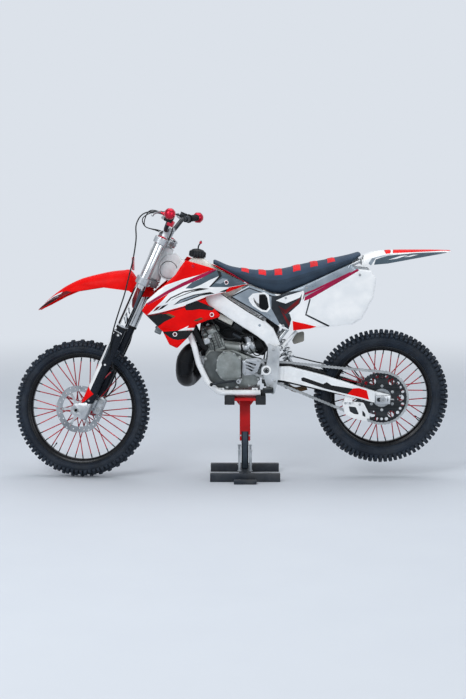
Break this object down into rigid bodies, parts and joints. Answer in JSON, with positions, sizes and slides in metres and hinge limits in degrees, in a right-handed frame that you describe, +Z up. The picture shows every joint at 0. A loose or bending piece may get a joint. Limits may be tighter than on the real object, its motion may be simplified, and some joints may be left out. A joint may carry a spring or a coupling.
{
  "type": "dirt bike on a lift stand",
  "caption": "Off-road motorcycle with wire wheels, twin-spar frame, chain drive and open two-stroke engine, parked on a lift stand; both wheels and the steering turn.",
  "frame": {"origin": "on the floor, under the middle of the lift stand's base", "axes": "+Z up, -X forward, -Y to the rider's left"},
  "size_m": [2.1714, 0.7954, 1.3605],
  "materials": {
    "tyre": "knobby rubber",
    "rim": "black anodised",
    "hub": "satin, with red laced spokes",
    "disc": "ground",
    "white_plastic": "moulded",
    "red_plastic": "moulded",
    "grey_plastic": "moulded",
    "frame_paint": "powder coated",
    "cradle_metal": "satin",
    "fork_metal": "polished",
    "clamp_metal": "machined",
    "engine_metal": "cast",
    "cover_metal": "cast and coated",
    "exhaust_metal": "blackened",
    "black_metal": "satin",
    "black_rubber": "moulded",
    "seat_cover": "ribbed gripping cover",
    "chain_steel": "oiled",
    "stand_red": "gloss",
    "stand_black": "satin",
    "chrome": "plated"
  },
  "bodies": {
    "root": {"main_frame": "frame_paint", "cradle_left": "cradle_metal", "cradle_right": "cradle_metal", "subframe": "cradle_metal", "swingarm": "frame_paint", "pivot_bolt": "chrome", "chain": "chain_steel", "chain_guide": "white_plastic", "engine_cases": "engine_metal", "cylinder_head": "engine_metal", "engine_covers": "cover_metal", "carburettor": "engine_metal", "exhaust_pipe": "exhaust_metal", "silencer": "cradle_metal", "fuel_tank": "white_plastic", "tank_cap": "black_rubber", "radiators": "cradle_metal", "shroud_left": "red_plastic", "shroud_right": "red_plastic", "seat": "seat_cover", "rear_fender": "white_plastic", "side_panel_left": "white_plastic", "side_panel_right": "white_plastic", "airbox": "black_rubber", "shock": "black_metal", "footpegs": "cradle_metal", "foot_controls": "black_metal", "rear_caliper": "black_metal", "rear_axle": "chrome", "stand_base": "stand_black", "stand_post": "stand_black", "stand_rods": "chrome", "stand_sleeve": "stand_red", "stand_platform": "stand_red", "stand_pads": "black_rubber"},
    "steering": {"upper_fork_tubes": "fork_metal", "lower_fork_tubes": "clamp_metal", "triple_clamps": "clamp_metal", "handlebar": "black_metal", "grips": "black_rubber", "bar_ends": "red_plastic", "levers": "clamp_metal", "fork_guards": "white_plastic", "front_caliper": "black_metal", "front_fender": "red_plastic", "number_plate": "white_plastic", "front_axle": "chrome"},
    "front_wheel": {"front_tyre": "tyre", "front_rim": "rim", "front_hub": "hub", "front_disc": "disc"},
    "rear_wheel": {"rear_tyre": "tyre", "rear_rim": "rim", "rear_hub": "hub", "rear_sprocket": "black_metal", "rear_disc": "disc"}
  },
  "joints": [
    {"name": "steering", "type": "hinge", "parent": "root", "child": "steering", "pos_m": [-0.3824, 0, 1.146], "axis": [0.4147, 0, 0.91], "range_deg": [-32, 52]},
    {"name": "front_wheel_spin", "type": "hinge", "parent": "steering", "child": "front_wheel", "pos_m": [-0.81316, 0.01059, 0.34562], "axis": [0.158, 0.9848, -0.072], "continuous": true},
    {"name": "rear_wheel_spin", "type": "hinge", "parent": "root", "child": "rear_wheel", "pos_m": [0.678, 0, 0.409], "axis": [0, 1, 0], "continuous": true}
  ]
}
